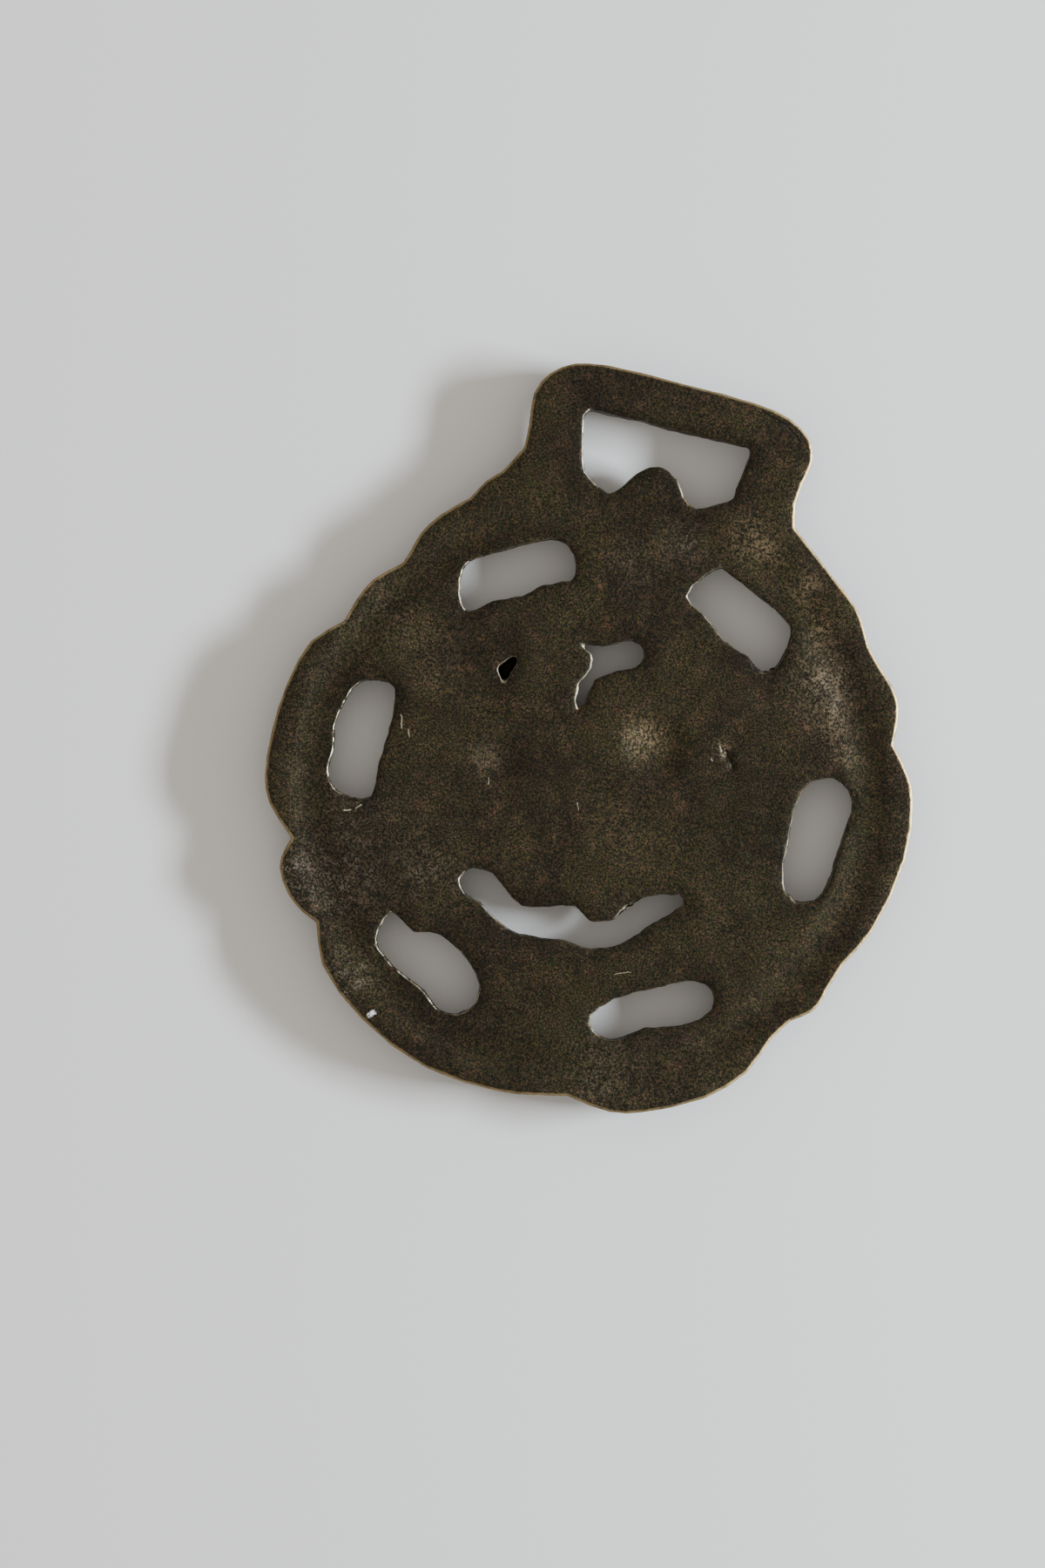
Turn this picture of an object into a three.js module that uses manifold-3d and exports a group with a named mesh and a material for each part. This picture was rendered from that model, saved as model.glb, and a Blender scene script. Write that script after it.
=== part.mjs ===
// A cast horse brass: the medallion that hangs from a strap on a heavy horse's harness.
// One piece of sand-cast brass, modelled as it lies when loose: front down, hollowed back up,
// strap loop towards +Y. Millimetres, +Z up. The origin is the middle of its footprint, on the
// surface it lies on. While it is being built, X and Y are measured from the middle of the disc.
import * as THREE from 'three';
import { mergeVertices } from 'three/addons/utils/BufferGeometryUtils.js';
import Module from 'manifold-3d';

const wasm = await Module();
wasm.setup();

// ---- Driving dimensions ----
const DISC_RADIUS = 38.5;          // middle of the disc to its widest scallops
const PLATE_THICKNESS = 3.0;       // the plain plate, without the relief on its front
const RELIEF_HEIGHT = 2.2;         // how far the worn relief stands out from the front's ground
const EDGE_WEAR = 0.35;            // width and depth of the rounding that wear gave every edge
const RELIEF_MARGIN = 0.6;         // bare strip between the relief and every edge
const HOLLOW_RADIUS = 33.2;        // middle of the shallow channel round the back
const HOLLOW_HALF_WIDTH = 2.6;
const HOLLOW_DEPTH = 0.45;
const RING_RADIUS = 22.2;          // raised ring that frames the horse
const RING_HALF_WIDTH = 1.1;
const WREATH_RADIUS = 34.3;        // stem of the leaf wreath, outside the slots
const SPOKE_RADIUS = 28.4;         // flowers between the slots
const POCKET_FLOOR = 1.0;          // metal left in front of the one opening that didn't cast through
const ROOT = 0.2;                  // how deep the relief's parts are rooted in the plate
const STEPS_PER_SPAN = 2;          // straight steps between two neighbouring points of an edge

const BACK_Z = RELIEF_HEIGHT + PLATE_THICKNESS;
const FRONT_Z = RELIEF_HEIGHT;

// ---- Shaping helpers ----
// A clock-like direction: degrees clockwise from the strap loop, seen from the back.
function clock(degrees, radius) {
  const angle = THREE.MathUtils.degToRad(90 - degrees);
  return [radius * Math.cos(angle), radius * Math.sin(angle)];
}

// Even, slightly rounded run of points through a few [x, y] pairs.
function smoothRun(pairs, closed = false) {
  const knots = pairs.map(([x, y]) => new THREE.Vector3(x, y, 0));
  const curve = new THREE.CatmullRomCurve3(knots, closed, 'centripetal');
  const spans = closed ? pairs.length : pairs.length - 1;
  const run = curve.getPoints(spans * STEPS_PER_SPAN).map(({ x, y }) => new THREE.Vector2(x, y));
  return closed ? run.slice(0, -1) : run;
}

function solidOf(geometry) {
  const bare = geometry.clone();
  bare.deleteAttribute('normal');
  bare.deleteAttribute('uv');
  const merged = mergeVertices(bare, 1e-5);
  const mesh = new wasm.Mesh({
    numProp: 3,
    vertProperties: new Float32Array(merged.attributes.position.array),
    triVerts: new Uint32Array(merged.index.array),
  });
  return new wasm.Manifold(mesh);
}

function geometryOf(solid) {
  const mesh = solid.getMesh();
  const geometry = new THREE.BufferGeometry();
  geometry.setAttribute('position', new THREE.BufferAttribute(mesh.vertProperties, 3));
  geometry.setIndex(new THREE.BufferAttribute(mesh.triVerts, 1));
  return geometry;
}

function joinAll(solids) {
  return solids.reduce((joined, solid) => joined.add(solid));
}

// A slab of an outline from low to high, its edges eased; inset draws every edge back.
function slab(shape, low, high, { inset = 0, ease = EDGE_WEAR, easeSteps = 1 } = {}) {
  const geometry = new THREE.ExtrudeGeometry(shape, {
    depth: high - low - 2 * ease,
    bevelThickness: ease,
    bevelSize: ease,
    bevelOffset: -ease - inset,
    bevelSegments: easeSteps,
  });
  geometry.translate(0, 0, low + ease);
  return solidOf(geometry);
}

// A flattened egg, turned about Z, with its middle at a given place.
function egg([x, y, z], [halfLength, halfWidth, halfHeight], turn = 0, sides = 12) {
  const geometry = new THREE.SphereGeometry(1, sides, Math.ceil(sides / 2));
  geometry.rotateX(Math.PI / 2);
  geometry.scale(halfLength, halfWidth, halfHeight);
  geometry.rotateZ(THREE.MathUtils.degToRad(turn));
  geometry.translate(x, y, z);
  return solidOf(geometry);
}

// A swelling of the front: an egg, sunk a little more than half into the front face.
function swelling([x, y], halfLength, halfWidth, turn, height, sides) {
  return egg([x, y, FRONT_Z + ROOT], [halfLength, halfWidth, height + ROOT], turn, sides);
}

// A closed ring round the middle of the disc. Its section is [radius, height] pairs, which run
// anticlockwise where the radius grows to the right.
function ring(section, sides) {
  const profile = [...section, section[0]].map(([radius, z]) => new THREE.Vector2(radius, z));
  return solidOf(new THREE.LatheGeometry(profile, sides).rotateX(Math.PI / 2));
}

// ---- The rim: scallops filed by hand, no two alike ----
// Each scallop ends at a notch. A pair is [degrees clockwise from the loop, mm inside DISC_RADIUS].
const LOOP_FOOT = [24.3, -1.55];
const SCALLOPS = [
  { crown: [[27.9, -1.0], [36, -0.35], [41.6, -0.3], [45.2, 0.2]], notch: [48.7, 0.8] },
  { crown: [[52.5, 0.7], [57.3, 0.15], [60.6, 0.15], [64, 0.85]], notch: [67.3, 1.75] },
  { crown: [[73.2, 0.4], [78, -0.1], [88.5, 0], [102.3, 0.95]], notch: [110.4, 2.0] },
  { crown: [[115.8, 1.75], [118.8, 1.3], [121.2, 1.4]], notch: [124.9, 2.3] },
  { crown: [[129.8, 2.1], [136.8, 0.35], [145.5, -0.3], [157, 0], [162.8, 0.5]], notch: [170.5, 2.4] },
  { crown: [[176.9, 2.0], [183.1, 1.45], [197.5, 0.5], [212, 0.4], [224, 0.8]], notch: [231.3, 2.65] },
  { crown: [[234.2, 1.55], [238, 0.75], [243.3, 0.6], [246, 1.6]], notch: [248, 2.7] },
  { crown: [[254.8, 0.4], [259.6, -0.15], [267, 0], [276, 0.2], [285.4, 0.75]], notch: [291.7, 2.85] },
  { crown: [[296.4, 2.45], [301.2, 2.3]], notch: [307.5, 3.2] },
  { crown: [[310, 2.7], [313.4, 1.65], [318.3, 0.9]], notch: [324.6, 0.55] },
  { crown: [[328.3, -0.7], [331.5, -1.3]], notch: [335.8, -3.4] },
];

function rimPoint([degrees, inside]) {
  return clock(degrees, DISC_RADIUS - inside);
}

function rimRun() {
  const run = [];
  let start = LOOP_FOOT;
  for (const { crown, notch } of SCALLOPS) {
    run.push(...smoothRun([start, ...crown, notch].map(rimPoint)).slice(0, -1));
    start = notch;
  }
  return run;
}

// ---- The strap loop: a flat frame with round shoulders, wider at the top than at its foot ----
const LOOP_EDGE = [
  rimPoint(SCALLOPS.at(-1).notch), [-17.2, 41.2], [-17.5, 44.8], [-16.2, 47.6], [-13.6, 49.4],
  [-9.6, 50.1], [0, 50.05], [8.4, 49.8], [13, 48.95], [15.8, 47.1], [16.7, 44.6], [16.2, 41.6],
  [15.95, 39.2], rimPoint(LOOP_FOOT),
];

// ---- The openings, each filed out by hand ----
// The strap's bearing edge is straight; the rest of that slot runs round a point of the disc.
const STRAP_BEARING = { left: -10.6, right: 8.9, y: 44.45 };
const STRAP_SLOT = [
  [STRAP_BEARING.right, STRAP_BEARING.y], [9.2, 43.5], [8.6, 39.4], [8.5, 38.3], [7.5, 37.4],
  [4.5, 35.9], [2.7, 36.9], [1.5, 38.8], [-0.9, 39.85], [-3, 38.7], [-4.9, 36.2], [-6.1, 35.3],
  [-9.4, 37.1], [-10.3, 40], [-11, 43.6], [STRAP_BEARING.left, STRAP_BEARING.y],
];
const OPENINGS = {
  leftSlot: [
    [-29.6, 6.5], [-27.4, 7.3], [-25.3, 6.8], [-24.95, 0.8], [-25.2, -2.6], [-25.1, -6.4],
    [-27.4, -7], [-29.6, -6.5], [-30.85, -4.6], [-30.8, -1.8], [-31.3, 0.6], [-30.8, 4.2],
  ],
  rightSlot: [
    [27.8, 8.55], [25.4, 7.5], [24.4, 4.8], [24.4, 0], [24.9, -5], [26.8, -6.85], [29.2, -6],
    [30.2, -3.6], [30.4, 0.2], [30.95, 5.2], [30, 7.6],
  ],
  lowerLeftSlot: [
    [-19.6, -19.2], [-20.55, -21.6], [-20.1, -23.7], [-16, -26.4], [-13.6, -27.4], [-11.6, -29.1],
    [-9.2, -29.2], [-7.2, -27.3], [-8, -24], [-13.4, -20.4], [-16.4, -20.8], [-18.6, -19.6],
  ],
  lowerRightSlot: [
    [6.45, -25.5], [7.1, -27.3], [9, -28], [10.8, -27.3], [13, -25.6], [17.2, -24.3], [20.2, -21.8],
    [19.8, -19.4], [17.6, -18.65], [14, -20.2], [8.6, -23.1],
  ],
  upperLeftSlot: [
    [-20.8, 22.6], [-20.5, 19.6], [-19.4, 17.8], [-18.2, 18.1], [-16.4, 19.7], [-13.1, 21],
    [-11.1, 22.9], [-8, 24.2], [-7.8, 26], [-9.5, 28.3], [-11.6, 28.3], [-16.6, 25.8], [-19.7, 24],
  ],
  upperRightSlot: [
    [5.85, 25.5], [7.3, 28.3], [9.2, 29.85], [11, 29], [13.8, 27.8], [18.7, 25], [18.9, 22.8],
    [18.2, 19.8], [16.8, 18.7], [15, 20], [11.6, 21.4], [8.2, 24],
  ],
  slotUnderHooves: [
    [-12.6, -13.4], [-11.6, -14.9], [-9.4, -15.7], [-7, -17.3], [-4, -18.2], [0.6, -17.7],
    [4.5, -17.95], [8.2, -16.3], [11.2, -13.1], [14, -10.3], [13.4, -9.2], [9.2, -10.5],
    [7.2, -12.1], [6.3, -13.8], [3.5, -14.7], [1.6, -13.4], [-1.5, -14.2], [-4.7, -14.8],
    [-7.2, -13.2], [-9, -11.9], [-11.4, -11.9],
  ],
  gapBehindMane: [
    [-5.1, 17.1], [-3.6, 16.2], [-3.2, 14.5], [-4.2, 12.3], [-3.7, 9.5], [-3, 10.4], [-2.5, 13.3],
    [0.4, 15.2], [2.5, 16.5], [2.4, 18.1], [0.8, 19], [-2.4, 17.4],
  ],
};
const POCKET_UNDER_JAW = [
  [-14, 12], [-13.1, 13.3], [-12.2, 13.8], [-12, 13], [-12.5, 11.6], [-12.9, 10.3], [-13.4, 11.1],
];

// The edge is turned anticlockwise, so that ExtrudeGeometry eases the openings outwards.
function brassOutline() {
  const clockwise = [...rimRun(), ...smoothRun(LOOP_EDGE).slice(0, -1)];
  const shape = new THREE.Shape(clockwise.reverse());
  shape.holes.push(new THREE.Path(smoothRun(STRAP_SLOT)));
  for (const edge of Object.values(OPENINGS)) {
    shape.holes.push(new THREE.Path(smoothRun(edge, true)));
  }
  return shape;
}

// ---- The back: a shallow channel round the rim, and dishes behind the horse's thickest parts ----
const DISHES = [
  { at: [6.4, 7], radius: 4.2, depth: 0.6 },
  { at: [-11.4, 1.4], radius: 3.4, depth: 0.35 },
];

function backChannel() {
  const arcSteps = 4;
  const floor = Array.from({ length: arcSteps + 1 }, (_, step) => {
    const across = (2 * step) / arcSteps - 1;
    const z = BACK_Z - HOLLOW_DEPTH * (1 - across * across);
    return [HOLLOW_RADIUS + across * HOLLOW_HALF_WIDTH, z];
  });
  const clearOfBack = BACK_Z + 1;
  const lid = [
    [HOLLOW_RADIUS + HOLLOW_HALF_WIDTH, clearOfBack],
    [HOLLOW_RADIUS - HOLLOW_HALF_WIDTH, clearOfBack],
  ];
  return ring([...floor, ...lid], 60);
}

// The egg's middle stands its dish's depth above the back, so the dish has gently sloping sides.
function dish({ at: [x, y], radius, depth }) {
  const halfWidth = radius / Math.cos(Math.PI / 6);
  return egg([x, y, BACK_Z + depth], [halfWidth, halfWidth, 2 * depth], 0, 16);
}

function pocket() {
  const shape = new THREE.Shape(smoothRun(POCKET_UNDER_JAW, true));
  const geometry = new THREE.ExtrudeGeometry(shape, { depth: PLATE_THICKNESS, bevelEnabled: false });
  geometry.translate(0, 0, FRONT_Z + POCKET_FLOOR);
  return solidOf(geometry);
}

// ---- The front: a wreath on the rim, a ring, flowers between the slots, a trotting horse ----
// A round ridge of the front, rooted in the plate, with a narrower crest that ends at crestZ.
function ridge(radius, halfWidth, crestZ) {
  const [rootZ, halfCrest] = [FRONT_Z + ROOT, halfWidth / 2];
  return ring([
    [radius - halfCrest, crestZ], [radius + halfCrest, crestZ],
    [radius + halfWidth, rootZ], [radius - halfWidth, rootZ],
  ], 42);
}

function wreath() {
  const leafPairs = 19;
  const stem = ridge(WREATH_RADIUS, 0.8, 0.2);
  const leaves = [];
  for (let pair = 0; pair < leafPairs; pair += 1) {
    const degrees = (360 / leafPairs) * (pair + 0.5);
    const along = -degrees;
    leaves.push(swelling(clock(degrees, WREATH_RADIUS + 2), 3.4, 1.5, along + 24, 2.3, 8));
    leaves.push(swelling(clock(degrees, WREATH_RADIUS - 1.8), 3.2, 1.4, along - 24, 2.3, 8));
  }
  return joinAll([stem, ...leaves]);
}

function innerRing() {
  return ridge(RING_RADIUS, RING_HALF_WIDTH, 0.4);
}

function flower([x, y]) {
  const petals = 5;
  const parts = [swelling([x, y], 1.2, 1.2, 0, 2, 6)];
  for (let petal = 0; petal < petals; petal += 1) {
    const turn = (360 / petals) * petal + 90;
    const reach = THREE.MathUtils.degToRad(turn);
    const tip = [x + 2 * Math.cos(reach), y + 2 * Math.sin(reach)];
    parts.push(swelling(tip, 1.5, 0.95, turn, 1.5, 6));
  }
  return joinAll(parts);
}

function flowers() {
  return joinAll([358, 58, 120, 180, 240, 302].map((degrees) => flower(clock(degrees, SPOKE_RADIUS))));
}

// The horse trots towards -X, which is to the right when the front is seen. Each part of it is a
// stroke: a run of [x, y, half width] from joint to joint.
const HORSE = {
  body: [[-11.2, 3.4, 4.4], [-6, 2.8, 5.2], [0, 2.8, 4.6], [5.4, 3.6, 5], [9.4, 4, 3.4]],
  neck: [[-9.4, 4.6, 4.4], [-8.6, 9, 3.4], [-8.4, 13, 2.8], [-9.2, 16, 1.9]],
  head: [[-8.8, 16.9, 1.7], [-11.6, 15.8, 2.1], [-15, 13.9, 1.4], [-17.2, 12.6, 1.2]],
  raisedForeleg: [
    [-10.6, 0, 2.4], [-13.8, -1.8, 1.7], [-16, -3.2, 1.25], [-15.3, -6, 0.9], [-14.7, -7.8, 1.2],
  ],
  plantedForeleg: [[-8.8, -1, 2.4], [-8, -5, 1.4], [-7.7, -8.6, 0.9], [-7.8, -10.8, 1.3]],
  hindleg: [[6.4, 1, 3.8], [6.3, -3, 2.4], [6.7, -6, 1.4], [5.2, -9.4, 0.95], [4.7, -11.6, 1.3]],
  farHindleg: [[8.6, 1, 2.8], [10.7, -2.4, 1.8], [12, -4.6, 1.3], [10.9, -7, 0.9], [10.4, -8.4, 1.2]],
  tail: [[10.2, 6.4, 1], [13.2, 6.8, 1.3], [15.8, 3.6, 1.5], [16.3, -1, 1.3], [15.2, -4.2, 1]],
};

function stroke(joints) {
  const [leftSide, rightSide] = [[], []];
  joints.forEach(([x, y, halfWidth], index) => {
    const before = joints[Math.max(index - 1, 0)];
    const after = joints[Math.min(index + 1, joints.length - 1)];
    const along = new THREE.Vector2(after[0] - before[0], after[1] - before[1]).normalize();
    const endReach = { 0: -halfWidth, [joints.length - 1]: halfWidth }[index];
    rightSide.push([x + along.y * halfWidth, y - along.x * halfWidth]);
    leftSide.unshift([x - along.y * halfWidth, y + along.x * halfWidth]);
    if (endReach) {
      const end = [x + along.x * endReach, y + along.y * endReach];
      (endReach < 0 ? rightSide : leftSide).unshift(end);
    }
  });
  return new THREE.Shape(smoothRun([...rightSide, ...leftSide], true));
}

function horsePart(name, crestZ, ease, easeSteps = 1) {
  return slab(stroke(HORSE[name]), crestZ, FRONT_Z + ease, { ease, easeSteps });
}

function horse() {
  const locks = [[-6.2, 9.4], [-6.4, 11.4], [-6.6, 13.4], [-6.8, 15.4]];
  const mane = locks.map((at) => swelling(at, 1.7, 0.8, 150, 1.9, 6));
  const ear = swelling([-8.8, 19.2], 1.5, 0.6, 75, 1.6, 6);
  return joinAll([
    horsePart('body', 0.1, 1.4, 2),
    horsePart('neck', 0.3, 1.2, 2),
    horsePart('head', 0.4, 0.8),
    horsePart('raisedForeleg', 0.6, 0.6),
    horsePart('plantedForeleg', 0.4, 0.6),
    horsePart('hindleg', 0.2, 0.7),
    horsePart('farHindleg', 0.8, 0.6),
    horsePart('tail', 0.6, 0.45),
    ...mane,
    ear,
  ]);
}

// ---- One casting ----
function horseBrass() {
  const outline = brassOutline();
  const plate = slab(outline, FRONT_Z, BACK_Z);
  const reliefRoom = slab(outline, 0, FRONT_Z + PLATE_THICKNESS / 2, { inset: RELIEF_MARGIN });
  const relief = joinAll([wreath(), innerRing(), flowers(), horse()]).intersect(reliefRoom);
  const hollows = joinAll([backChannel(), ...DISHES.map(dish)]);
  const casting = plate.add(relief).subtract(hollows).subtract(pocket());
  const geometry = geometryOf(casting);
  geometry.computeBoundingBox();
  const { min, max } = geometry.boundingBox;
  geometry.translate(-(min.x + max.x) / 2, -(min.y + max.y) / 2, -min.z);
  return geometry;
}

const agedBrass = new THREE.MeshStandardMaterial({
  color: 0x4a4234,
  roughness: 0.55,
  metalness: 0.85,
});

const brass = new THREE.Mesh(horseBrass(), agedBrass);
brass.name = 'horse_brass';

const model = new THREE.Group();
model.add(brass);

export default model;
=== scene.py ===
import math

import bmesh
import bpy
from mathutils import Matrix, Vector, noise
from mathutils.bvhtree import BVHTree


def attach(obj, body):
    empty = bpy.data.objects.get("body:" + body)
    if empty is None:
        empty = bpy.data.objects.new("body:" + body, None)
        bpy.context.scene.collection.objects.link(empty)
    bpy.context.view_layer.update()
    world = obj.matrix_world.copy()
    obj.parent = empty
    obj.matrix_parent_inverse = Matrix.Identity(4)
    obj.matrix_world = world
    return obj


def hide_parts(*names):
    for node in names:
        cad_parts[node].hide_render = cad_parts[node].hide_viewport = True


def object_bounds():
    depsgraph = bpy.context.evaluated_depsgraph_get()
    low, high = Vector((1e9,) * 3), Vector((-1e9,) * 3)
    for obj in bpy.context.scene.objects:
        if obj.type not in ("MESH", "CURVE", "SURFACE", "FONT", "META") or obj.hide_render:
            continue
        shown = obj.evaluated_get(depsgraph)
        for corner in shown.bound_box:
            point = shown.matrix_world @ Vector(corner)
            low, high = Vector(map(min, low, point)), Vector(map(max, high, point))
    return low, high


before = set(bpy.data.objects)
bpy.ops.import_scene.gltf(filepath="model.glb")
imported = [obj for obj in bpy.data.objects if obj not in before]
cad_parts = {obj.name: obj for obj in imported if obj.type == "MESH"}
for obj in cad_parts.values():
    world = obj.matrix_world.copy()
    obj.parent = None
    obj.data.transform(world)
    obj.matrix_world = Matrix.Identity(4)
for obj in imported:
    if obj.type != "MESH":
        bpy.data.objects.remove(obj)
cad_low, cad_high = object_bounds()


# --- Camera -----------------------------------------------------------------------------------
# The brass lies face down on the table and is looked at from straight above, with its strap
# loop leaning to the right, so the camera is turned by that lean instead of the brass.

MM = 0.001
LEAN = math.radians(13.5)
CAMERA_ABOVE_BACK = 0.5
VIEW_HEIGHT = 186.3 * MM
SENSOR = 36.0

camera_data = bpy.data.cameras.new("overhead_camera")
camera_data.sensor_width = SENSOR
camera_data.lens = SENSOR * CAMERA_ABOVE_BACK / VIEW_HEIGHT
camera = bpy.data.objects.new("overhead_camera", camera_data)
camera.location = (-7.97 * MM, -7.32 * MM, cad_high.z + CAMERA_ABOVE_BACK)
camera.rotation_euler = (0.0, 0.0, LEAN)
bpy.context.scene.collection.objects.link(camera)
bpy.context.scene.camera = camera


# --- The casting ------------------------------------------------------------------------------
# One sand casting of brass, its openings filed out by hand. The frame's solid gives the outline
# and the relief, and the skin below adds what sand and file leave: soft arrises, a slow
# unevenness, hollows, ragged opening edges, burrs and two blow holes.

VOXEL = 0.28 * MM
SAME_POINT = 0.001 * MM
RELAX_PASSES = 5
SOFTENING_PASSES = 2
BACK_SETTLING_PASSES = 24
KEPT_FACES = 0.54
BACK_Z = cad_high.z
DEEPEST_HOLLOW = 1.2 * MM
MID_PLATE = 3.7 * MM
DISC_CENTRE = (cad_low + cad_high) / 2 - Vector((0.02 * MM, 6.589 * MM, 0.0))
LAMP_SIDE = Vector((math.cos(LEAN), math.sin(LEAN), 0.0))

# In mm from the disc's centre: what lies further out is rim, except inside the strap loop.
RIM_REACH = 33.0
STRAP_SLOT_HALF_WIDTH = 12.0
STRAP_SLOT_TOP = 46.0

# The sand's lumps: size across and depth in mm, and the layer of noise they are taken from.
SAND_LUMPS = [
    (9.0, 0.05, 3.0),
    (3.2, 0.03, 11.0),
    (0.9, 0.012, 23.0),
]

# How an opening's filed wall wanders: length and reach in mm, how it leans with the height, layer.
FILE_MARKS = [
    (1.7, 0.08, 0.4, 5.0),
    (0.8, 0.03, 0.6, 17.0),
]

# Shallow sinks of the back, in mm from the disc's centre: x, y, radius, depth.
SINKS = [
    (7.4, 8.0, 2.8, 0.15),
    (-10.4, 2.0, 3.0, 0.10),
    (7.6, -3.2, 4.5, 0.09),
    (-19.6, 10.6, 3.4, 0.12),
    (13.4, 34.0, 3.2, 0.12),
    (20.4, 29.0, 2.4, 0.07),
    (25.9, 17.6, 3.0, 0.12),
    (24.6, 25.6, 2.4, 0.09),
    (29.4, 11.6, 2.6, 0.08),
    (-1.5, 26.0, 3.5, 0.08),
    (5.4, 31.6, 3.0, 0.10),
    (-26.6, -18.6, 3.6, 0.12),
    (-31.0, -16.6, 2.6, 0.10),
    (14.0, -32.0, 4.0, 0.08),
]

# Gas left two small holes under the strap side of the disc: x, y, radius, depth.
BLOW_HOLES = [
    (15.0, 8.2, 0.60, 0.45),
    (15.8, 7.2, 0.45, 0.30),
]

# Places painted a lighter tan, partly painted light on the slopes that face the lamp and partly
# patina rubbed thin by handling: x, y, radius, strength.
RUBBED_AND_LIT = [
    (5.0, 7.5, 2.2, 0.74),
    (6.4, 8.8, 1.6, 0.40),
    (3.2, 8.6, 1.6, 0.30),
    (-12.4, 1.6, 1.9, 0.20),
    (4.5, -4.0, 4.5, 0.16),
    (-21.0, 9.0, 2.6, 0.28),
    (-24.0, 13.0, 3.0, 0.20),
    (11.5, 33.8, 2.2, 0.90),
    (14.4, 32.4, 1.8, 0.50),
    (19.5, 29.8, 2.0, 0.55),
    (22.4, 25.6, 2.0, 0.60),
    (24.0, 20.0, 2.6, 0.64),
    (26.0, 15.0, 2.2, 0.56),
    (28.4, 11.0, 1.8, 0.42),
    (34.5, -5.0, 4.0, 0.10),
    (17.0, -10.0, 4.0, 0.08),
    (14.0, 9.0, 0.8, 0.90),
]

# Places where pale dust has settled into the sandy face: x, y, radius, strength.
DUSTED = [
    (-1.5, 27.6, 2.8, 0.20),
    (4.0, 31.6, 2.6, 0.24),
    (-27.0, -18.0, 4.0, 0.36),
    (-33.0, -17.0, 2.4, 0.50),
    (-22.5, -27.5, 3.0, 0.45),
    (-27.0, -10.0, 9.0, 0.16),
    (-16.0, -13.0, 4.0, 0.20),
    (20.0, -29.5, 4.5, 0.10),
    (9.0, -33.0, 5.0, 0.25),
    (-36.0, 6.0, 2.5, 0.10),
    (-30.0, 15.0, 5.0, 0.20),
    (24.0, 19.0, 4.0, 0.30),
    (-12.4, 1.8, 1.5, 0.20),
]

# Places where the patina is still thick and dark: x, y, radius, strength.
THICK = [
    (19.5, 2.0, 6.5, 0.90),
    (5.5, 28.5, 2.5, 0.50),
    (-1.0, 1.0, 5.0, 0.30),
    (4.0, 23.0, 5.0, 0.30),
    (-35.0, 4.0, 4.0, 0.60),
    (0.0, -34.5, 6.0, 0.60),
    (-3.0, -26.0, 6.0, 0.20),
    (-21.0, -3.0, 3.6, 0.45),
    (-18.0, 28.0, 4.0, 0.25),
    (-14.5, 14.5, 3.0, 0.35),
    (23.0, -15.0, 8.0, 0.40),
    (27.0, -4.0, 4.0, 0.25),
]

# Stretches of the openings' edges that get a painted highlight whichever way they face:
# x, y, radius, strength.
GLINTING_EDGES = [
    (-10.4, -22.4, 1.8, 0.45),
    (-7.6, -26.2, 2.0, 0.60),
    (-8.6, -29.0, 1.2, 0.50),
]

# The blind hollow, whose edge gets no painted highlight: x, y, radius.
BLIND_HOLLOW = (-12.6, 12.5, 3.2)

# Teeth of metal left along an opening's edge: x, y, radius, how far they stand in.
BURRS = [
    (7.6, -11.8, 1.8, 0.30),
    (17.4, 19.3, 0.9, 0.35),
    (26.5, -8.0, 2.6, 0.18),
]


def ramp(low, high, value):
    """0 below low, 1 above high and an even curve between them."""
    share = min(1.0, max(0.0, (value - low) / (high - low)))
    return share * share * (3.0 - 2.0 * share)


def falloff(x, y, centre_x, centre_y, radius):
    """1 at the centre, falling off smoothly to nothing at about twice the radius."""
    return math.exp(-((x - centre_x) ** 2 + (y - centre_y) ** 2) / radius**2)


def gathered(places, x, y):
    """How much all the listed places together reach x, y."""
    return sum(strength * falloff(x, y, at_x, at_y, size) for at_x, at_y, size, strength in places)


def wander(x, y, z, size, layer):
    """Even noise between about -1 and 1 whose lumps are about size mm across."""
    return 2.0 * noise.noise(Vector((x / size + layer, y / size - layer, z / size)))


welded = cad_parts["horse_brass"].data.copy()
casting = bpy.data.objects.new("cast_brass", welded)
bpy.context.scene.collection.objects.link(casting)

shell = bmesh.new()
shell.from_mesh(welded)
bmesh.ops.remove_doubles(shell, verts=shell.verts, dist=SAME_POINT)
shell.to_mesh(welded)
shell.free()

# An even skin of small faces, relaxed and then laid back onto the solid, so that it stays crisp.
pattern_mesh = welded.copy()
pattern = bpy.data.objects.new("pattern", pattern_mesh)
even_skin = casting.modifiers.new("even_skin", "REMESH")
even_skin.mode = "VOXEL"
even_skin.voxel_size = VOXEL
for _ in range(2):
    relax = casting.modifiers.new("relax", "SMOOTH")
    relax.factor = 0.5
    relax.iterations = RELAX_PASSES
    lay_back = casting.modifiers.new("lay_back", "SHRINKWRAP")
    lay_back.target = pattern
    lay_back.wrap_method = "NEAREST_SURFACEPOINT"
skin_mesh = bpy.data.meshes.new_from_object(
    casting.evaluated_get(bpy.context.evaluated_depsgraph_get())
)
skin_mesh.name = "cast_brass"
casting.modifiers.clear()
casting.data = skin_mesh

skin = bmesh.new()
skin.from_mesh(skin_mesh)
for _ in range(SOFTENING_PASSES):
    bmesh.ops.smooth_vert(
        skin, verts=skin.verts, factor=0.5, use_axis_x=True, use_axis_y=True, use_axis_z=True
    )
skin.normal_update()
back_verts = [
    vert
    for vert in skin.verts
    if vert.normal.z > 0.9 and BACK_Z - vert.co.z < DEEPEST_HOLLOW
]
for _ in range(BACK_SETTLING_PASSES):
    bmesh.ops.smooth_vert(skin, verts=back_verts, factor=0.5, use_axis_z=True)
skin.normal_update()

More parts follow.
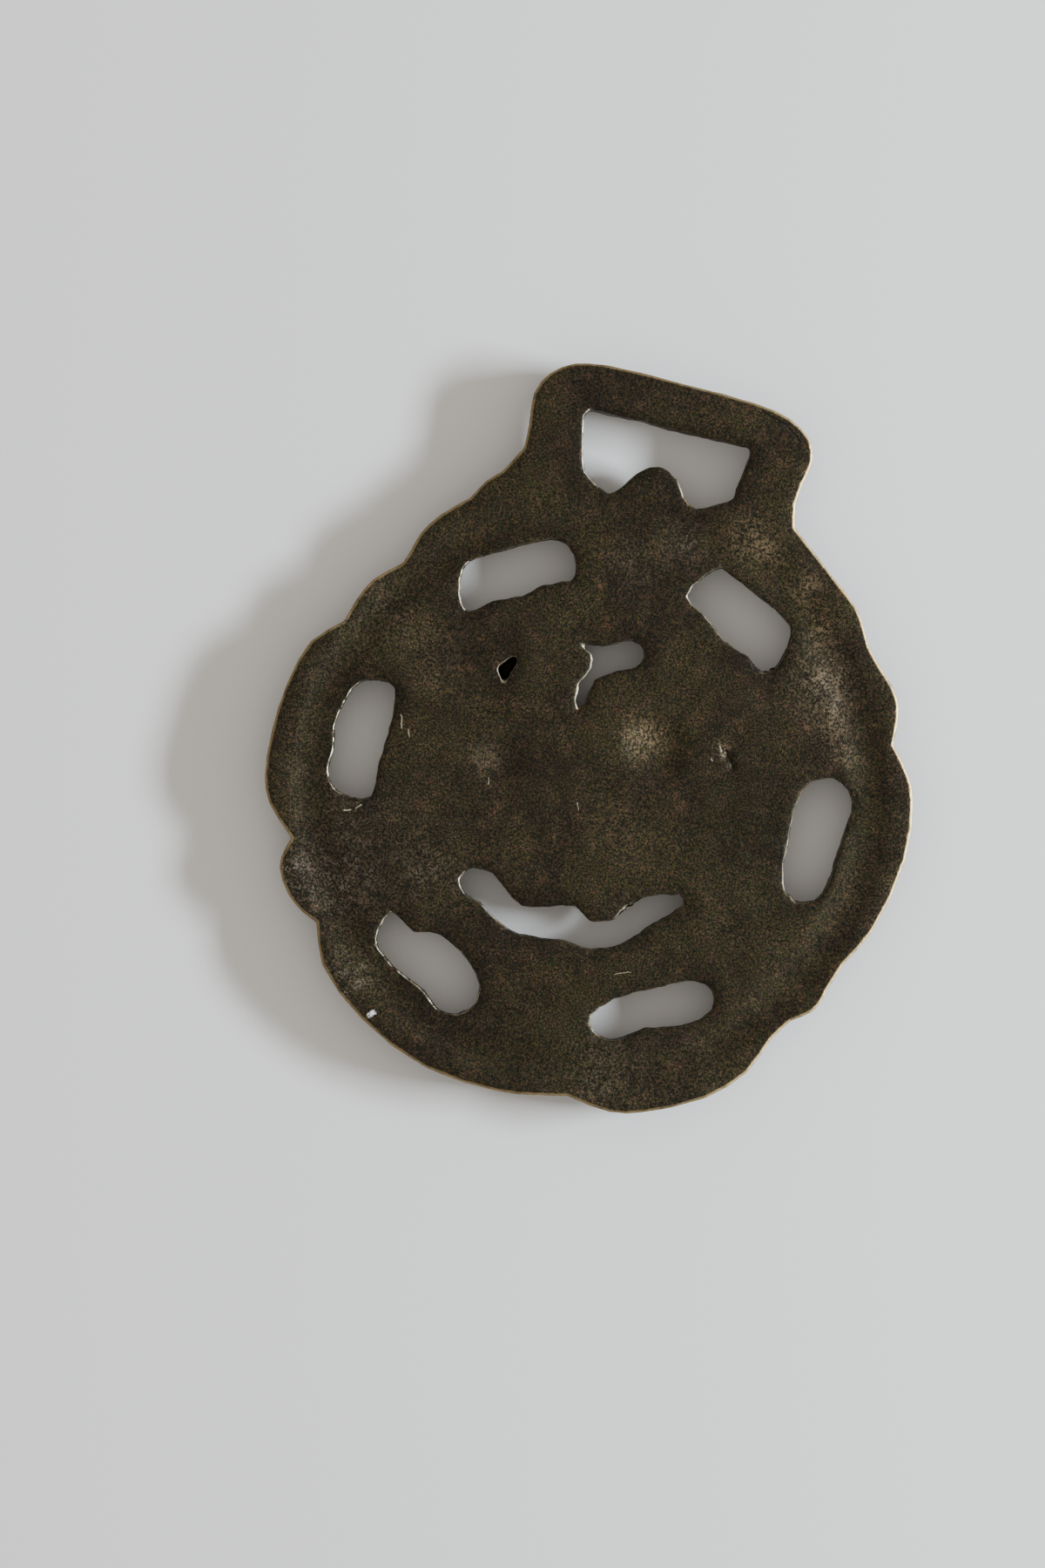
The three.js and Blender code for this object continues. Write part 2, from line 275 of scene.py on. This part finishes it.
# The walls of the rim and of the openings, for how far each point of the back is from them.
rim_walls = []
opening_walls = []
corners = [vert.co for vert in pattern_mesh.vertices]
for face in pattern_mesh.polygons:
    heights = [corners[index].z for index in face.vertices]
    out = (face.center - DISC_CENTRE).xy / MM
    if abs(face.normal.z) < 0.3 and min(heights) < MID_PLATE < max(heights):
        in_loop = abs(out.x) < STRAP_SLOT_HALF_WIDTH and 0.0 < out.y < STRAP_SLOT_TOP
        is_rim = out.length > RIM_REACH and face.normal.xy.dot(out) > 0.0 and not in_loop
        (rim_walls if is_rim else opening_walls).append(tuple(face.vertices))
rim = BVHTree.FromPolygons(corners, rim_walls)
openings = BVHTree.FromPolygons(corners, opening_walls)
bpy.data.objects.remove(pattern)

rim_layer = skin.verts.layers.float.new("from_rim")
opening_layer = skin.verts.layers.float.new("from_opening")
lamp_highlight_layer = skin.verts.layers.float.new("lamp_highlight")
rubbed_and_lit_layer = skin.verts.layers.float.new("rubbed_and_lit")
polished_layer = skin.verts.layers.float.new("polished")
dusted_layer = skin.verts.layers.float.new("dusted")
thick_layer = skin.verts.layers.float.new("thick")
deep_shade_layer = skin.verts.layers.float.new("deep_shade")
moves = []
for vert in skin.verts:
    place = (vert.co - DISC_CENTRE) / MM
    x, y = place.x, place.y
    z = vert.co.z / MM
    depth = (BACK_Z - vert.co.z) / MM
    normal = vert.normal.copy()
    faces_back = ramp(0.55, 0.95, normal.z)
    faces_front = ramp(0.55, 0.95, -normal.z)
    is_wall = 1.0 - max(faces_back, faces_front)
    level_place = Vector((vert.co.x, vert.co.y, MID_PLATE))
    _, rim_normal, _, from_rim = rim.find_nearest(level_place)
    _, opening_normal, _, from_opening = openings.find_nearest(level_place)
    from_rim /= MM
    from_opening /= MM

    # The sand's unevenness goes down into the back and never stands above it.
    sink = 0.0
    for size, lump_depth, layer in SAND_LUMPS:
        sink += lump_depth * (1.0 + wander(x, y, 0.0, size, layer))
    sink += (gathered(SINKS, x, y) + gathered(BLOW_HOLES, x, y)) if faces_back else 0.0
    move = Vector((0.0, 0.0, -sink * faces_back))

    # Filed walls of the openings wander both ways; the cast rim wanders a little, only inwards.
    wall = Vector((normal.x, normal.y, 0.0)) * is_wall
    if from_opening < from_rim:
        waver = 0.0
        for size, reach, lean, layer in FILE_MARKS:
            waver += reach * wander(x, y, z * lean, size, layer)
        waver += gathered(BURRS, x, y) * (0.6 + 0.8 * wander(x, y, z, 0.6, 31.0))
    else:
        waver = -0.03 * (1.0 + wander(x, y, z * 0.5, 2.6, 5.0))
    move += wall * waver
    moves.append(move * MM)

    vert[rim_layer] = from_rim
    vert[opening_layer] = from_opening
    # A painted highlight along the edges: on the openings' walls that face the lamp, weaker on the
    # openings to the right and none at the blind hollow, plus the listed glinting stretches; on
    # the rim, where it faces the lamp.
    if from_opening < from_rim:
        glint = 1.0 - 0.7 * ramp(-5.0, 22.0, x) - 0.95 * falloff(x, y, *BLIND_HOLLOW)
        highlight = ramp(0.35, 0.95, opening_normal.dot(LAMP_SIDE)) * max(0.0, glint)
        vert[lamp_highlight_layer] = min(1.0, highlight + gathered(GLINTING_EDGES, x, y))
    else:
        vert[lamp_highlight_layer] = ramp(0.1, 0.9, rim_normal.dot(LAMP_SIDE))
    vert[rubbed_and_lit_layer] = min(1.0, gathered(RUBBED_AND_LIT, x, y) * faces_back)
    vert[polished_layer] = faces_front * (1.0 - ramp(0.2, 1.3, z))
    vert[dusted_layer] = min(1.0, gathered(DUSTED, x, y) * faces_back)
    vert[thick_layer] = min(1.0, gathered(THICK, x, y) * faces_back)
    # Painted shade, deeper as the surface lies further below the back and faces up, such as the
    # blind hollow's floor.
    vert[deep_shade_layer] = ramp(0.7, 1.6, depth) * ramp(-0.1, 0.5, normal.z)

for vert, move in zip(skin.verts, moves):
    vert.co += move
    vert.co.z = min(vert.co.z, BACK_Z)
for face in skin.faces:
    face.smooth = True
skin.to_mesh(skin_mesh)
skin.free()

# Fewer, larger faces where the casting is nearly flat.
thin_out = casting.modifiers.new("thin_out", "DECIMATE")
thin_out.ratio = KEPT_FACES
dense_mesh = skin_mesh
skin_mesh = bpy.data.meshes.new_from_object(
    casting.evaluated_get(bpy.context.evaluated_depsgraph_get())
)
casting.modifiers.clear()
casting.data = skin_mesh
bpy.data.meshes.remove(dense_mesh)
skin_mesh.name = "cast_brass"

# Its surface: a dark olive-brown patina over sand-cast brass, sandy to the touch, thin and tan
# where hands have rubbed it and worn through to yellow metal along the outer arrises.
# Painted light lies on it too: lighter tan on slopes facing the lamp, painted highlights on edges
# facing it, and painted shade in deep recesses, creases and near the openings.

UMBER = (0.0185, 0.0140, 0.0074, 1.0)
OLIVE_BROWN = (0.0275, 0.0236, 0.0101, 1.0)
RED_BROWN = (0.0380, 0.0250, 0.0125, 1.0)
TAN = (0.235, 0.172, 0.098, 1.0)
WIPED_BRASS = (0.235, 0.165, 0.080, 1.0)
DUST = (0.175, 0.150, 0.108, 1.0)
YELLOW_BRASS = (0.620, 0.450, 0.220, 1.0)
PALE_BRASS = (0.800, 0.720, 0.550, 1.0)
# The colour of the painted shade in deep recesses and creases.
DEEP_SHADE_COLOUR = (0.0100, 0.0085, 0.0060, 1.0)
PAINT = (0.800, 0.800, 0.780, 1.0)

# Bright scratches and nicks of the back, in mm from the disc's centre: start, end, width.
SCRATCHES = [
    ((-23.9, 3.9), (-23.5, 2.4), 0.11),
    ((-22.6, 2.4), (-22.3, 1.6), 0.08),
    ((-27.9, -8.7), (-27.1, -8.5), 0.13),
    ((-26.5, -8.1), (-26.0, -7.6), 0.10),
    ((8.0, -20.1), (9.8, -19.5), 0.06),
    ((-12.0, -1.0), (-11.9, -1.7), 0.07),
    ((-1.1, -1.4), (-0.8, -2.1), 0.07),
    ((13.8, 9.1), (14.1, 8.6), 0.14),
    ((13.1, 7.4), (13.4, 7.2), 0.10),
]

# Creases, where the metal folded over as it cooled, darkened with painted shade.
CREASES = [
    ((9.4, 49.0), (12.4, 48.2), 0.16),
    ((12.4, 48.2), (14.6, 46.6), 0.16),
    ((14.7, 8.7), (15.9, 7.0), 0.22),
]

# One speck of white paint near the rim.
PAINT_SPECK = [((-19.2, -31.7), (-18.8, -31.3), 0.4)]

# Heights above the table in mm between which a wall turns into the back.
BACK_STARTS = 4.6
BACK_FULL = 4.9
GRAIN_HEIGHT = 0.08 * MM


def add_node(tree, kind, sockets=None, **settings):
    """A node with its settings made and its input sockets filled by name, number or link."""
    made = tree.nodes.new(kind)
    for name, value in settings.items():
        setattr(made, name, value)
    for name, value in (sockets or {}).items():
        if isinstance(value, bpy.types.NodeSocket):
            tree.links.new(value, made.inputs[name])
        else:
            made.inputs[name].default_value = value
    return made


def attribute(tree, name):
    """A value that the mesh carries at its vertices."""
    return add_node(tree, "ShaderNodeAttribute", attribute_name=name).outputs["Fac"]


def noise_at(tree, where, scale, detail=2.0, roughness=0.5):
    """A noise texture; scale is its lumps per millimetre."""
    return add_node(
        tree,
        "ShaderNodeTexNoise",
        {"Vector": where, "Scale": scale, "Detail": detail, "Roughness": roughness},
    )


def band(tree, value, low, high, bottom=0.0, top=1.0):
    """The value spread from low..high to bottom..top and held there."""
    return add_node(
        tree,
        "ShaderNodeMapRange",
        {
            "Value": value,
            "From Min": low,
            "From Max": high,
            "To Min": bottom,
            "To Max": top,
        },
        interpolation_type="SMOOTHSTEP",
    ).outputs["Result"]


def maths(tree, operation, first, second=0.0):
    """One sum on two values."""
    made = add_node(tree, "ShaderNodeMath", {0: first, 1: second}, operation=operation)
    return made.outputs["Value"]


def blend(tree, factor, first, second, blend_type="MIX"):
    """Two colours mixed by a factor."""
    made = add_node(
        tree,
        "ShaderNodeMix",
        {"Factor": factor, "A": first, "B": second},
        data_type="RGBA",
        blend_type=blend_type,
    )
    return made.outputs["Result"]


def node_group(name, inputs, output):
    """An empty group with its input sockets and one output made."""
    made = bpy.data.node_groups.new(name, "ShaderNodeTree")
    for socket_name, kind in inputs:
        made.interface.new_socket(socket_name, in_out="INPUT", socket_type=kind)
    made.interface.new_socket(output, in_out="OUTPUT", socket_type="NodeSocketFloat")
    return made


def close_group(group, output, value):
    """Hand a value out of a group."""
    way_out = group.nodes.new("NodeGroupOutput")
    group.links.new(value, way_out.inputs[output])


def vector_maths(tree, operation, first, second):
    """The output sockets of one sum on two vectors."""
    made = add_node(
        tree, "ShaderNodeVectorMath", {0: first, 1: second}, operation=operation
    )
    return made.outputs


# 1 along a straight stroke from Start to End, 0 beyond Width from its middle line.
stroke = node_group(
    "stroke",
    [
        ("Place", "NodeSocketVector"),
        ("Start", "NodeSocketVector"),
        ("End", "NodeSocketVector"),
        ("Width", "NodeSocketFloat"),
    ],
    "Mask",
)
stroke_in = add_node(stroke, "NodeGroupInput").outputs
course = vector_maths(stroke, "SUBTRACT", stroke_in["End"], stroke_in["Start"])["Vector"]
reached = vector_maths(stroke, "SUBTRACT", stroke_in["Place"], stroke_in["Start"])["Vector"]
share = add_node(
    stroke,
    "ShaderNodeMath",
    {
        0: vector_maths(stroke, "DOT_PRODUCT", reached, course)["Value"],
        1: vector_maths(stroke, "DOT_PRODUCT", course, course)["Value"],
    },
    operation="DIVIDE",
    use_clamp=True,
).outputs["Value"]
nearest = add_node(
    stroke, "ShaderNodeVectorMath", {0: course, "Scale": share}, operation="SCALE"
).outputs["Vector"]
aside = vector_maths(stroke, "DISTANCE", reached, nearest)["Value"]
in_widths = maths(stroke, "DIVIDE", aside, stroke_in["Width"])
close_group(stroke, "Mask", band(stroke, in_widths, 0.3, 1.0, 1.0, 0.0))


def strokes(tree, where, lines):
    """The mask of a set of strokes."""
    together = None
    for start, end, width in lines:
        mask = add_node(
            tree,
            "ShaderNodeGroup",
            {"Place": where, "Start": (*start, 0.0), "End": (*end, 0.0), "Width": width},
            node_tree=stroke,
        ).outputs["Mask"]
        together = maths(tree, "MAXIMUM", together, mask) if together else mask
    return together


aged_brass = bpy.data.materials.new("aged_brass")
aged_brass.use_nodes = True
tree = aged_brass.node_tree
tree.nodes.clear()
coordinates = add_node(tree, "ShaderNodeTexCoord").outputs["Object"]
in_mm = add_node(
    tree,
    "ShaderNodeMapping",
    {
        "Vector": coordinates,
        "Location": tuple(-DISC_CENTRE.xy / MM) + (0.0,),
        "Scale": (1000.0, 1000.0, 1000.0),
    },
).outputs["Vector"]
height_above = add_node(tree, "ShaderNodeSeparateXYZ", {"Vector": in_mm}).outputs["Z"]

from_rim = attribute(tree, "from_rim")
from_opening = attribute(tree, "from_opening")
lamp_highlight = attribute(tree, "lamp_highlight")
rubbed_and_lit = attribute(tree, "rubbed_and_lit")
polished = attribute(tree, "polished")
dusted = attribute(tree, "dusted")
thick = attribute(tree, "thick")
deep_shade = attribute(tree, "deep_shade")

clouds = noise_at(tree, in_mm, 0.11, 4.0, 0.6).outputs["Fac"]
stains = noise_at(tree, in_mm, 0.42, 3.0, 0.6).outputs["Fac"]
clumps = noise_at(tree, in_mm, 1.1, 3.0, 0.65)
sand = noise_at(tree, in_mm, 3.5, 2.0, 0.7)
fine_sand = noise_at(tree, in_mm, 6.2, 1.0, 0.5)
clumped = clumps.outputs["Fac"]
sandy = sand.outputs["Fac"]
finely_sandy = fine_sand.outputs["Fac"]

# The patina: three browns in clouds, then every grain of it a little redder or greener.
patina = blend(tree, band(tree, clouds, 0.35, 0.65), UMBER, OLIVE_BROWN)
patina = blend(tree, band(tree, stains, 0.50, 0.74), patina, RED_BROWN)
patina = blend(tree, 0.30, patina, clumps.outputs["Color"], "SOFT_LIGHT")
patina = blend(tree, 0.58, patina, sand.outputs["Color"], "SOFT_LIGHT")
patina = blend(tree, 0.60, patina, fine_sand.outputs["Color"], "SOFT_LIGHT")
grain_and_shade = maths(
    tree,
    "MULTIPLY",
    band(tree, sandy, 0.33, 0.67, 0.42, 1.72),
    band(tree, finely_sandy, 0.34, 0.66, 0.52, 1.56),
)
# Painted shade: the back is made darker close to the openings' edges.
grain_and_shade = maths(tree, "MULTIPLY", grain_and_shade, band(tree, from_opening, 0.3, 3.0, 0.80, 1.05))
grain_and_shade = maths(tree, "MULTIPLY", grain_and_shade, band(tree, thick, 0.0, 1.0, 1.0, 0.60))
patina = add_node(
    tree, "ShaderNodeVectorMath", {0: patina, "Scale": grain_and_shade}, operation="SCALE"
).outputs["Vector"]

# Lighter tan in patches, partly painted light on slopes facing the lamp and partly patina rubbed
# thin: most on the grains that stand highest.
thinned_and_lit = maths(tree, "MULTIPLY", rubbed_and_lit, band(tree, clumped, 0.36, 0.60, 0.20, 1.0))
thinned_and_lit = maths(tree, "MULTIPLY", thinned_and_lit, band(tree, from_opening, 0.8, 2.6))
thinned_and_lit = maths(tree, "MULTIPLY", thinned_and_lit, band(tree, sandy, 0.42, 0.60, 0.06, 1.0))
patina = blend(tree, thinned_and_lit, patina, TAN)

# The crests of the front's relief, polished by years of wiping.
wiped = maths(tree, "MULTIPLY", polished, band(tree, stains, 0.30, 0.62, 0.35, 0.85))
wiped = maths(tree, "MULTIPLY", wiped, band(tree, sandy, 0.34, 0.52, 0.55, 1.0))
patina = blend(tree, wiped, patina, WIPED_BRASS)

# Pale dust between the grains, and loose flecks of it.
dust = maths(tree, "MULTIPLY", dusted, band(tree, clumped, 0.40, 0.62, 0.15, 1.0))
dust = maths(tree, "MULTIPLY", dust, band(tree, sandy, 0.44, 0.62, 0.05, 1.0))
flecks = add_node(tree, "ShaderNodeTexVoronoi", {"Vector": in_mm, "Scale": 1.5})
fleck = band(tree, flecks.outputs["Distance"], 0.10, 0.24, 1.0, 0.0)
fleck = maths(tree, "MULTIPLY", fleck, band(tree, clumped, 0.46, 0.60))
fleck = maths(tree, "MULTIPLY", fleck, band(tree, dusted, 0.05, 0.45, 0.05, 0.9))
on_back = band(tree, height_above, BACK_STARTS, BACK_FULL)
dust = maths(tree, "MAXIMUM", dust, maths(tree, "MULTIPLY", fleck, on_back))
patina = blend(tree, dust, patina, DUST)

# Worn arrises: yellow along the rim, strengthened by a painted highlight on the side facing the
# lamp, and a pale hairline round the openings that is a painted highlight, clearest on the side
# facing the lamp.
torn_height = maths(tree, "ADD", height_above, band(tree, clumped, 0.35, 0.65, -0.2, 0.2))
rim_line = maths(
    tree,
    "MULTIPLY",
    band(tree, from_rim, 0.22, 0.44, 1.0, 0.0),
    band(tree, torn_height, 4.45, 4.85),
)
rim_line = maths(tree, "MULTIPLY", rim_line, band(tree, lamp_highlight, 0.0, 1.0, 0.35, 1.0))
rim_line = maths(tree, "MULTIPLY", rim_line, band(tree, stains, 0.25, 0.5, 0.4, 1.0))
patina = blend(tree, rim_line, patina, YELLOW_BRASS)
hairline = maths(
    tree,
    "MULTIPLY",
    band(tree, from_opening, 0.05, 0.18, 0.90, 0.0),
    band(tree, torn_height, 4.58, 4.88),
)
hairline = maths(tree, "MULTIPLY", hairline, band(tree, lamp_highlight, 0.0, 1.0, 0.12, 1.0))
hairline = maths(tree, "MULTIPLY", hairline, band(tree, stains, 0.30, 0.48, 0.10, 1.0))
arris = blend(tree, band(tree, stains, 0.50, 0.66), PALE_BRASS, YELLOW_BRASS)
patina = blend(tree, hairline, patina, arris)

# Scratches, creases and one speck of white paint, with painted shade along the creases and in the
# deep recesses.
level = vector_maths(tree, "MULTIPLY", in_mm, (1.0, 1.0, 0.0))["Vector"]
shake = vector_maths(tree, "SUBTRACT", clumps.outputs["Color"], (0.5, 0.5, 0.5))["Vector"]
shake = vector_maths(tree, "MULTIPLY", shake, (0.5, 0.5, 0.0))["Vector"]
shaken = vector_maths(tree, "ADD", level, shake)["Vector"]
scratched = maths(tree, "MULTIPLY", strokes(tree, shaken, SCRATCHES), on_back)
creased = maths(tree, "MULTIPLY", strokes(tree, shaken, CREASES), on_back)
paint_speck = strokes(tree, shaken, PAINT_SPECK)
paint_speck = maths(tree, "MULTIPLY", paint_speck, band(tree, sandy, 0.40, 0.46))
paint_speck = maths(tree, "MULTIPLY", paint_speck, on_back)
patina = blend(tree, maths(tree, "MULTIPLY", scratched, 0.50), patina, PALE_BRASS)
painted_shade = maths(tree, "MAXIMUM", deep_shade, maths(tree, "MULTIPLY", creased, 0.85))
patina = blend(tree, painted_shade, patina, DEEP_SHADE_COLOUR)
patina = blend(tree, paint_speck, patina, PAINT)

# The worn rim, the painted edge highlights and the scratches are made more metallic.
bare_or_highlit = maths(tree, "MAXIMUM", maths(tree, "MAXIMUM", rim_line, hairline), scratched)
metallic = band(tree, maths(tree, "MAXIMUM", bare_or_highlit, deep_shade), 0.0, 1.0, 0.75, 1.0)
metallic = maths(tree, "SUBTRACT", metallic, maths(tree, "MAXIMUM", dust, paint_speck))
metallic = maths(tree, "MAXIMUM", metallic, 0.0)
roughness = band(tree, stains, 0.3, 0.7, 0.46, 0.60)
roughness = maths(tree, "SUBTRACT", roughness, maths(tree, "MULTIPLY", wiped, 0.12))
height = maths(tree, "ADD", sandy, maths(tree, "MULTIPLY", finely_sandy, 0.35))
height = maths(tree, "ADD", height, maths(tree, "MULTIPLY", creased, -2.0))
skin_normal = add_node(
    tree, "ShaderNodeBump", {"Strength": 0.6, "Distance": GRAIN_HEIGHT, "Height": height}
).outputs["Normal"]

metal = add_node(
    tree,
    "ShaderNodeBsdfPrincipled",
    {
        "Base Color": patina,
        "Metallic": metallic,
        "Roughness": roughness,
        "Normal": skin_normal,
    },
)
surface = add_node(tree, "ShaderNodeOutputMaterial")
tree.links.new(metal.outputs["BSDF"], surface.inputs["Surface"])

skin_mesh.materials.clear()
skin_mesh.materials.append(aged_brass)
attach(casting, "root")
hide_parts("horse_brass")


# --- Table and light --------------------------------------------------------------------------
# A plain pale table under the brass, a broad soft lamp standing low on the side that the loop
# leans to, and an even pale room around it.

TABLE_HALF = 2.0
LAMP_DISTANCE = 0.8
LAMP_ELEVATION = math.radians(21.0)
LAMP_WIDTH = 0.30
LAMP_HEIGHT = 0.09
LAMP_POWER = 19.0
ROOM_STRENGTH = 0.70

table = bmesh.new()
bmesh.ops.create_grid(table, x_segments=1, y_segments=1, size=TABLE_HALF)
table_mesh = bpy.data.meshes.new("table_top")
table.to_mesh(table_mesh)
table.free()
table_top = bpy.data.objects.new("table_top", table_mesh)
bpy.context.scene.collection.objects.link(table_top)
pale_paint = bpy.data.materials.new("pale_paint")
pale_paint.use_nodes = True
painted = pale_paint.node_tree.nodes["Principled BSDF"]
painted.inputs["Base Color"].default_value = (0.80, 0.795, 0.79, 1.0)
painted.inputs["Roughness"].default_value = 0.9
painted.inputs["Specular IOR Level"].default_value = 0.2
table_mesh.materials.append(pale_paint)

lamp_data = bpy.data.lights.new("side_lamp", "AREA")
lamp_data.shape = "RECTANGLE"
lamp_data.size = LAMP_WIDTH
lamp_data.size_y = LAMP_HEIGHT
lamp_data.energy = LAMP_POWER
lamp_data.color = (0.84, 0.93, 1.0)
lamp = bpy.data.objects.new("side_lamp", lamp_data)
lamp_direction = Vector((
    math.cos(LEAN) * math.cos(LAMP_ELEVATION),
    math.sin(LEAN) * math.cos(LAMP_ELEVATION),
    math.sin(LAMP_ELEVATION),
))
lamp.location = lamp_direction * LAMP_DISTANCE
lamp.rotation_euler = lamp_direction.to_track_quat("Z", "Y").to_euler()
bpy.context.scene.collection.objects.link(lamp)

room = bpy.data.worlds.new("pale_room")
room.use_nodes = True
room_light = room.node_tree.nodes["Background"]
room_light.inputs["Color"].default_value = (1.0, 0.940, 0.855, 1.0)
room_light.inputs["Strength"].default_value = ROOM_STRENGTH
bpy.context.scene.world = room
